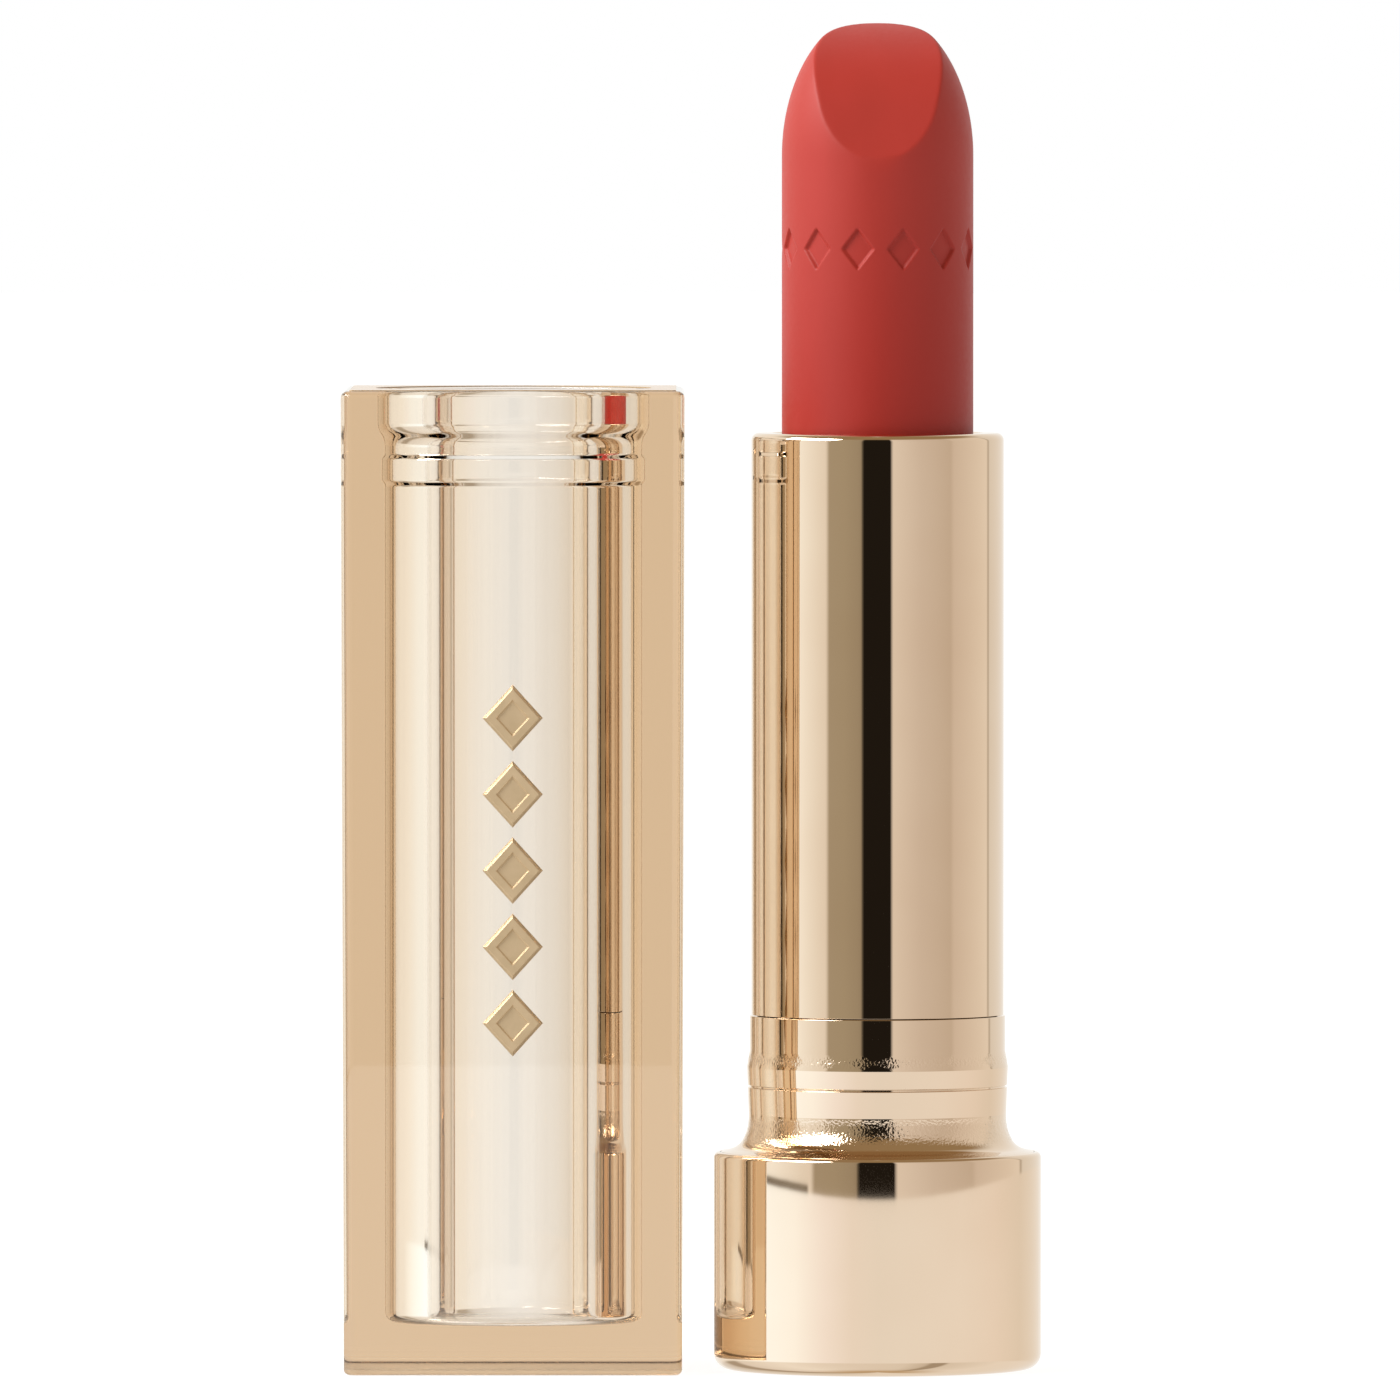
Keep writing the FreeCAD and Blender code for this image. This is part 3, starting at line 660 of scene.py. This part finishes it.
def make_ornament():
    """A column of bevelled lozenges, each with a smaller lozenge sunk into it."""
    builder = bmesh.new()
    half_width = (ornament_high.x - ornament_low.x) / 2
    pitch = (ornament_high.z - ornament_low.z - LOZENGE_LENGTH) / (ORNAMENT_COUNT - 1)
    middle = (ornament_high.x + ornament_low.x) / 2
    lean = (mouth_half - FOOT_HALF) / cap_height

    def face_depth(height):
        """Y of the cap's leaning front face."""
        return cap_middle.y - FOOT_HALF - height * lean

    def diamond(centre, share, out):
        """Four corners, out from the front face."""
        corners = []
        for across, up in ((0, -1), (1, 0), (0, 1), (-1, 0)):
            height = centre + up * share * LOZENGE_LENGTH / 2
            corners.append(builder.verts.new(
                (middle + across * share * half_width, face_depth(height) - out, height)))
        return corners

    for number in range(ORNAMENT_COUNT):
        centre = ornament_low.z + LOZENGE_LENGTH / 2 + number * pitch
        levels = [diamond(centre, share, out) for share, out in LOZENGE_STEPS]
        builder.faces.new(reversed(levels[0]))
        for lower, upper in zip(levels, levels[1:]):
            for step in range(4):
                following = (step + 1) % 4
                builder.faces.new((lower[step], lower[following], upper[following], upper[step]))
        builder.faces.new(levels[-1])
    rims = [edge for edge in builder.edges if edge.calc_face_angle(0) > BEVEL_ANGLE]
    tops = [edge for edge in rims
            if max(abs(vertex.co.y - face_depth(vertex.co.z)) for vertex in edge.verts)
            > RELIEF / 3]
    bmesh.ops.bevel(builder, geom=tops, offset=BEVEL, segments=2, profile=0.5, affect="EDGES")
    bmesh.ops.recalc_face_normals(builder, faces=builder.faces)
    mesh = bpy.data.meshes.new("cap_ornament")
    builder.to_mesh(mesh)
    builder.free()
    mesh.set_sharp_from_angle(angle=SHARP_ANGLE)
    piece = bpy.data.objects.new("cap_ornament", mesh)
    bpy.context.scene.collection.objects.link(piece)
    return piece


# --- Finishes, and the pieces in place ----------------------------------------------------

WAX_TOP = ((0.380, 0.0290, 0.0195), (0.410, 0.0315, 0.0225))     # dark and light streaks
# The same wax darker: painted shade for its lower end, where the tube's mouth shades it.
WAX_ROOT_PAINTED_SHADE = ((0.335, 0.0185, 0.0110), (0.360, 0.0205, 0.0130))
WAX_STREAK = 260.0               # cells per metre
WAX_STREAK_STRETCH = (1.0, 1.0, 0.25)
WAX_GRAIN = 2600.0               # cells per metre
WAX_ROUGHNESS = (0.42, 0.56)
WAX_RELIEF = 0.006 * MM


def wax_material():
    """Velvety coral-red lipstick, streaked a little along its length, with painted shade that
    darkens it towards the tube's mouth.
    """
    material, shader, graph = new_material("lipstick_wax")
    streak = grain(graph, WAX_STREAK, 4.0, stretch=WAX_STREAK_STRETCH)
    top = mottled(graph, streak, *WAX_TOP)
    painted_shade_root = mottled(graph, streak, *WAX_ROOT_PAINTED_SHADE)
    # Painted shade, fading out from the tube's mouth up to the shoulder.
    painted_shade_fade = graph.slide(object_height(graph), tube_high.z, shoulder)
    graph.feed(shader.inputs["Base Color"], graph.blend(painted_shade_fade, painted_shade_root, top))
    fine = grain(graph, WAX_GRAIN, 5.0)
    graph.feed(shader.inputs["Roughness"], spread(graph, fine, *WAX_ROUGHNESS))
    relief = graph.add("ShaderNodeBump", Height=fine, Distance=WAX_RELIEF, Strength=0.6)
    graph.feed(shader.inputs["Normal"], relief.outputs["Normal"])
    set_sockets(shader, Sheen_Weight=0.015, Sheen_Roughness=0.5,
                Sheen_Tint=(1.0, 0.6, 0.5, 1), Specular_IOR_Level=0.30)
    return material


ABSORB_DENSITY = 60.0
ABSORB_COLOUR = (0.766, 0.500, 0.140, 1)
CLEAR_HAZE = 0.012
CLEAR_HAZE_SCALE = 700.0
SATIN_ROUGHNESS = 0.4


def clear_material():
    """Thick amber-tinted clear plastic: the tint is in its depth. Its foot edge is satin."""
    material, shader, graph = new_material("amber_clear")
    set_sockets(shader, Base_Color=(1, 1, 1, 1), Transmission_Weight=1.0, IOR=1.49)
    haze = spread(graph, grain(graph, CLEAR_HAZE_SCALE, 2.0), 0.0, CLEAR_HAZE)
    satin = graph.add("ShaderNodeMapRange", Value=object_height(graph),
                      From_Min=1.2 * FOOT_ROUND, From_Max=FOOT_ROUND, To_Max=SATIN_ROUGHNESS)
    rough = graph.work("ADD", haze, satin.outputs["Result"])
    graph.feed(shader.inputs["Roughness"], rough)
    absorb = graph.add("ShaderNodeVolumeAbsorption", Color=ABSORB_COLOUR, Density=ABSORB_DENSITY)
    output = material.node_tree.nodes["Material Output"]
    graph.feed(output.inputs["Volume"], absorb.outputs["Volume"])
    return material


def place(piece, body, node, slot, material):
    """Put a piece in its node's stead, on its body."""
    piece.data.materials.clear()
    piece.data.materials.append(material)
    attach(piece, body)
    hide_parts(node)


plain_gold = gold_material("champagne_gold")
collar_gold = gold_material("champagne_gold_collar", GRAIN_BANDS)
place(make_base(), "base", "base_shell", "gold_metal", plain_gold)
place(make_collar(), "base", "collar", "gold_metal", collar_gold)
place(make_tube(), "tube", "tube_shell", "gold_metal", plain_gold)
place(make_bullet(), "carrier", "bullet", "lipstick_wax", wax_material())
place(make_cap(), "cap", "cap_block", "amber_clear", clear_material())
# The plate's amber colour is painted light, the glow of the tinted block's cut face.
place(make_painted_glow_rim(), "cap", "cap_block", "amber_clear", finish_material(
    "amber_rim_painted_glow", (0.52, 0.345, 0.175), (0.56, 0.38, 0.20), (0.12, 0.2), 500.0))
place(make_ornament(), "cap", "cap_emblem", "ornament", finish_material(
    "satin_champagne", (0.60, 0.45, 0.27), (0.66, 0.50, 0.31), (0.38, 0.5), 900.0,
    bump=0.002 * MM, Metallic=0.35))

# The other CAD nodes keep their meshes and get their own finishes.
NODE_FINISHES = {
    "base_label": finish_material(
        "label_film", (0.60, 0.50, 0.36), (0.66, 0.56, 0.42), (0.5, 0.65), 1200.0,
        bump=0.004 * MM),
    "base_weight": finish_material(
        "turned_steel", (0.48, 0.48, 0.49), (0.60, 0.60, 0.61), (0.22, 0.4), 500.0,
        bump=0.004 * MM, stretch=(1, 1, 9), Metallic=1.0),
    "base_insert": finish_material(
        "white_moulding", (0.70, 0.70, 0.67), (0.76, 0.76, 0.73), (0.42, 0.55), 800.0,
        bump=0.004 * MM),
    "inner_sleeve": finish_material(
        "cream_moulding", (0.66, 0.60, 0.47), (0.71, 0.65, 0.52), (0.35, 0.48), 900.0,
        bump=0.004 * MM),
    "spiral_sleeve": finish_material(
        "grey_moulding", (0.105, 0.100, 0.096), (0.125, 0.120, 0.115), (0.35, 0.5), 900.0,
        bump=0.004 * MM),
    "brake_ring": finish_material(
        "silicone", (0.012, 0.012, 0.012), (0.020, 0.020, 0.020), (0.5, 0.7), 2000.0,
        bump=0.006 * MM),
    "cup": finish_material(
        "metallised_cup", (0.74, 0.57, 0.40), (0.79, 0.62, 0.45), (0.14, 0.24), 900.0,
        Metallic=1.0),
}
for node_name, node_material in NODE_FINISHES.items():
    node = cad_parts[node_name]
    node.data.materials.clear()
    node.data.materials.append(node_material)


# --- Studio and camera --------------------------------------------------------------------

# Panels round the object, the far paper under them and the ground nearer by: each has its
# azimuth in degrees, 0 at the object's front and plus to its right, and the colour there.
PANELS = (
    (-180, (1.00, 1.00, 0.98)),
    (-120, (1.08, 1.08, 1.04)),
    (-96, (1.14, 1.21, 1.24)),
    (-80, (1.16, 1.23, 1.27)),
    (-56, (0.98, 0.98, 0.95)),
    (-48.5, (0.94, 0.92, 0.88)),
    (-45.5, (0.46, 0.41, 0.315)),
    (-31, (0.45, 0.40, 0.30)),
    (-18, (0.41, 0.36, 0.27)),
    (-15.5, (0.38, 0.33, 0.25)),
    (-13.5, (0.016, 0.013, 0.010)),
    (11.5, (0.016, 0.013, 0.010)),
    (13.5, (0.88, 0.84, 0.80)),
    (40, (0.75, 0.69, 0.64)),
    (70, (0.67, 0.60, 0.53)),
    (74, (0.76, 0.69, 0.63)),
    (119, (0.93, 0.89, 0.83)),
    (121.5, (0.50, 0.45, 0.38)),
    (124, (0.86, 0.85, 0.82)),
    (180, (1.00, 1.00, 0.98)),
)
PAPER = (
    (-180, (1.00, 1.00, 0.98)),
    (-130, (1.06, 1.06, 1.02)),
    (-108, (1.22, 1.32, 1.36)),
    (-84, (1.27, 1.44, 1.60)),
    (-61, (1.25, 1.38, 1.50)),
    (-38, (1.13, 1.16, 1.24)),
    (-18, (1.02, 1.02, 1.03)),
    (0, (0.98, 0.99, 0.99)),
    (60, (1.00, 0.99, 0.98)),
    (90, (0.98, 0.94, 0.91)),
    (120, (0.90, 0.86, 0.80)),
    (180, (1.00, 1.00, 0.98)),
)
GROUND = (
    (-180, (0.95, 0.94, 0.92)),
    (-150, (0.80, 0.77, 0.72)),
    (-141, (0.50, 0.44, 0.36)),
    (-129, (0.50, 0.44, 0.36)),
    (-120, (0.92, 0.90, 0.87)),
    (-75, (1.06, 1.08, 1.08)),
    (-20, (0.92, 0.90, 0.87)),
    (20, (0.86, 0.83, 0.78)),
    (36, (0.72, 0.67, 0.60)),
    (40, (0.46, 0.40, 0.32)),
    (50, (0.46, 0.40, 0.32)),
    (54, (0.84, 0.81, 0.76)),
    (100, (0.98, 0.97, 0.95)),
    (180, (0.95, 0.94, 0.92)),
)
GREATEST = 1.6           # colour ramps hold at most 1, so their colours are divided by this
PAPER_EDGE = -2.839      # height in degrees at which the paper ends in front
PAPER_RISE = 0.042       # how much higher it ends at the sides
PAPER_BLUR = 0.006
GAP_HEIGHT = 0.026       # dark gap between the paper and the panels on the left
GAP_AZIMUTH = (-87, -84, -52, -49)
GAP_COLOUR = (0.12, 0.10, 0.07, 1)
GROUND_START = (-13, -19)            # the paper gives way to the ground between these heights
NEAR_SIDE = (-165, -125, 125, 165)   # azimuths over which the ceiling and foot are dim
CEILING = (30, 48)       # the panels give way to a dim ceiling between these heights
CEILING_COLOUR = (0.22, 0.16, 0.09, 1)
FOOT = (-60, -86)        # the ground gets darker and warmer right at the object's foot
FOOT_COLOUR = (0.38, 0.29, 0.18, 1)


def make_world():
    """White for the camera; for the object, a studio worked out from the direction."""
    world = bpy.data.worlds.new("studio")
    bpy.context.scene.world = world
    world.use_nodes = True
    world.node_tree.nodes.clear()
    graph = Graph(world.node_tree)
    outward = graph.add("ShaderNodeTexCoord").outputs["Generated"]
    where = graph.add("ShaderNodeSeparateXYZ", Vector=outward)
    forward = graph.work("MULTIPLY", where.outputs["Y"], -1.0)
    azimuth = graph.work("DEGREES", graph.work("ARCTAN2", where.outputs["X"], forward))
    height = graph.work("DEGREES", graph.work("ARCSINE", where.outputs["Z"]))
    place = graph.work("MULTIPLY_ADD", azimuth, 1 / 360, 0.5)
    panels = graph.round_ramp(place, PANELS)
    paper = graph.round_ramp(place, PAPER)
    aside = graph.work("SUBTRACT", 1.0, graph.work("COSINE", graph.work("RADIANS", azimuth)))
    above_paper = graph.work("SUBTRACT", height,
                             graph.work("MULTIPLY_ADD", aside, PAPER_RISE, PAPER_EDGE))
    gap = graph.work("MULTIPLY", graph.hump(azimuth, GAP_AZIMUTH),
                     graph.slide(above_paper, GAP_HEIGHT, GAP_HEIGHT - PAPER_BLUR))
    colour = graph.blend(gap, panels, GAP_COLOUR)
    colour = graph.blend(graph.slide(above_paper, 0.0, PAPER_BLUR), paper, colour)
    ground = graph.round_ramp(place, GROUND)
    colour = graph.blend(graph.slide(height, *GROUND_START), colour, ground)
    near = graph.hump(azimuth, NEAR_SIDE)
    for heights, tone in ((FOOT, FOOT_COLOUR), (CEILING, CEILING_COLOUR)):
        dim = graph.work("MULTIPLY", near, graph.slide(height, *heights))
        colour = graph.blend(dim, colour, tone)
    around = graph.add("ShaderNodeBackground", Color=colour, Strength=GREATEST)
    white = graph.add("ShaderNodeBackground", Color=(1, 1, 1, 1))
    seen = graph.add("ShaderNodeLightPath").outputs["Is Camera Ray"]
    choice = graph.add("ShaderNodeMixShader", Fac=seen)
    graph.feed(choice.inputs[1], around.outputs[0])
    graph.feed(choice.inputs[2], white.outputs[0])
    graph.add("ShaderNodeOutputWorld", Surface=choice.outputs[0])


KEY_DISTANCE = 900 * MM
KEY_AZIMUTH = -72        # degrees, as for the panels
KEY_HEIGHT = 36          # degrees
KEY_SIDES = (860 * MM, 340 * MM)
KEY_POWER = 10.8


def make_key():
    """A broad soft light on the left. It is also the glint on the collar's flare."""
    lamp = bpy.data.lights.new("key", "AREA")
    lamp.shape = "RECTANGLE"
    lamp.size, lamp.size_y = KEY_SIDES
    lamp.energy = KEY_POWER
    holder = bpy.data.objects.new("key", lamp)
    bpy.context.scene.collection.objects.link(holder)
    azimuth, height = math.radians(KEY_AZIMUTH), math.radians(KEY_HEIGHT)
    away = Vector((math.sin(azimuth) * math.cos(height),
                   -math.cos(azimuth) * math.cos(height), math.sin(height)))
    holder.location = Vector((0, 0, shoulder)) + away * KEY_DISTANCE
    holder.rotation_euler = away.to_track_quat("Z", "Y").to_euler()
    holder.visible_camera = False


FLOOR_SIDE = 12.0
FLOOR_DROP = 0.05 * MM
FLOOR_ALBEDO = 0.24
FLOOR_GLOW = 0.90


def make_floor():
    """A plain white floor. Only the camera sees it; the paper in reflections is the world's."""
    half = FLOOR_SIDE / 2
    corners = [(x * half, y * half, -FLOOR_DROP) for x, y in ((-1, -1), (1, -1), (1, 1), (-1, 1))]
    floor = link_mesh("floor", corners, [(0, 1, 2, 3)])
    material, shader, _ = new_material("floor_paper")
    set_sockets(shader, Base_Color=(FLOOR_ALBEDO, FLOOR_ALBEDO, FLOOR_ALBEDO, 1), Roughness=1.0,
                Specular_IOR_Level=0.0, Emission_Color=(1, 1, 1, 1), Emission_Strength=FLOOR_GLOW)
    floor.data.materials.append(material)
    for kind in ("diffuse", "glossy", "transmission", "shadow"):
        setattr(floor, "visible_" + kind, False)


CAMERA_DISTANCE = 1500 * MM
CAMERA_HEIGHT = 85 * MM
FRAME_WIDTH = 88.5 * MM      # what the picture spans at the aim's distance
SENSOR_WIDTH = 36
CLIP = (10 * MM, 20)
AIM = Vector((-11.22 * MM, 0, 42.3 * MM))


def make_camera():
    """A distant, nearly level camera in front of the object."""
    camera = bpy.data.cameras.new("camera")
    holder = bpy.data.objects.new("camera", camera)
    bpy.context.scene.collection.objects.link(holder)
    holder.location = Vector((AIM.x, -CAMERA_DISTANCE, CAMERA_HEIGHT))
    look = AIM - holder.location
    holder.rotation_euler = look.to_track_quat("-Z", "Y").to_euler()
    camera.sensor_width = SENSOR_WIDTH
    camera.lens = SENSOR_WIDTH * look.length / FRAME_WIDTH
    camera.clip_start, camera.clip_end = CLIP
    bpy.context.scene.camera = holder


make_world()
make_floor()
make_key()
make_camera()
bpy.context.scene.view_settings.view_transform = "Standard"
